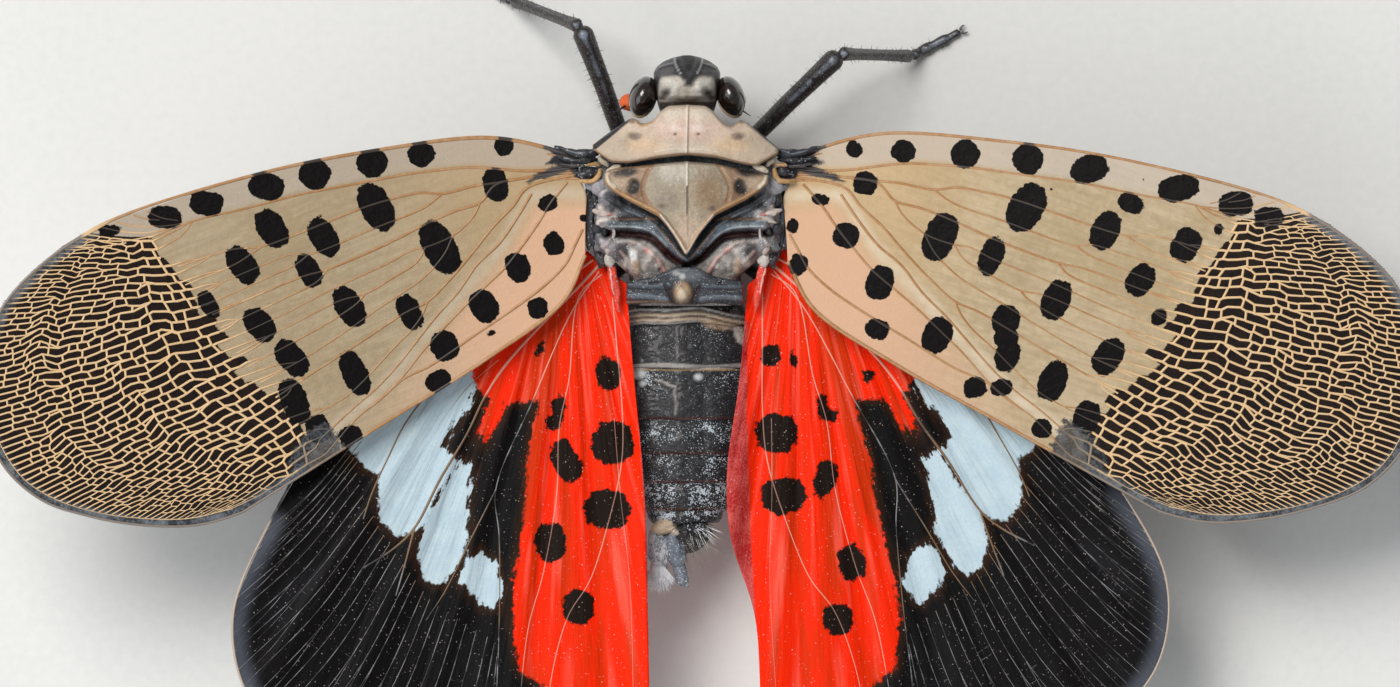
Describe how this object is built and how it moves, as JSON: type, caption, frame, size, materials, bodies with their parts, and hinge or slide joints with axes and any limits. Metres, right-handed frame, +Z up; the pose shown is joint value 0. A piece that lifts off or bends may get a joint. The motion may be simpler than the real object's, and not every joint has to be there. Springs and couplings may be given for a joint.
{
  "type": "spotted lanternfly",
  "caption": "Spotted lanternfly standing with its wings spread: spotted tan forewings with a netted tip, red, black and pale blue hindwings, dark banded abdomen.",
  "frame": {"origin": "bottom centre of the bounding box, on the floor that the feet stand on", "axes": "+Y towards the head, +X towards the insect's own right wing, +Z up"},
  "size_m": [0.0494, 0.0276, 0.0104],
  "materials": {
    "horn": "satin horn-coloured cuticle of the head and back shields, darker at the seams",
    "dark_shell": "glossy black, finely wrinkled cuticle with a grey wax bloom",
    "rear_thorax": "brown-black cuticle with pinkish and tan bars",
    "wax_tip": "blue-grey cuticle with white wax",
    "eye": "polished red-black compound eye with a pale rim",
    "feeler": "orange-red bulb with a dark bristle",
    "forewing": "satin pinkish tan membrane with black spots and a pale net over a dark tip",
    "hindwing": "vivid red, black and pale blue membrane with black spots",
    "leg": "glossy black cuticle with a blue-grey bloom and fine bristles"
  },
  "bodies": {
    "root": {"head": "horn", "rostrum": "dark_shell", "pronotum": "horn", "thorax": "rear_thorax", "mesonotum": "horn", "metanotum": "rear_thorax", "abdomen": "dark_shell", "terminalia": "wax_tip", "eye_right": "eye", "antenna_right": "feeler", "forewing_right": "forewing", "hindwing_right": "hindwing", "eye_left": "eye", "antenna_left": "feeler", "forewing_left": "forewing", "hindwing_left": "hindwing", "femur_front_right": "leg", "tibia_front_right": "leg", "tarsus_front_right": "leg", "femur_front_left": "leg", "tibia_front_left": "leg", "tarsus_front_left": "leg", "femur_middle_right": "leg", "tibia_middle_right": "leg", "tarsus_middle_right": "leg", "femur_middle_left": "leg", "tibia_middle_left": "leg", "tarsus_middle_left": "leg", "femur_hind_right": "leg", "tibia_hind_right": "leg", "tarsus_hind_right": "leg", "femur_hind_left": "leg", "tibia_hind_left": "leg", "tarsus_hind_left": "leg"}
  },
  "joints": []
}
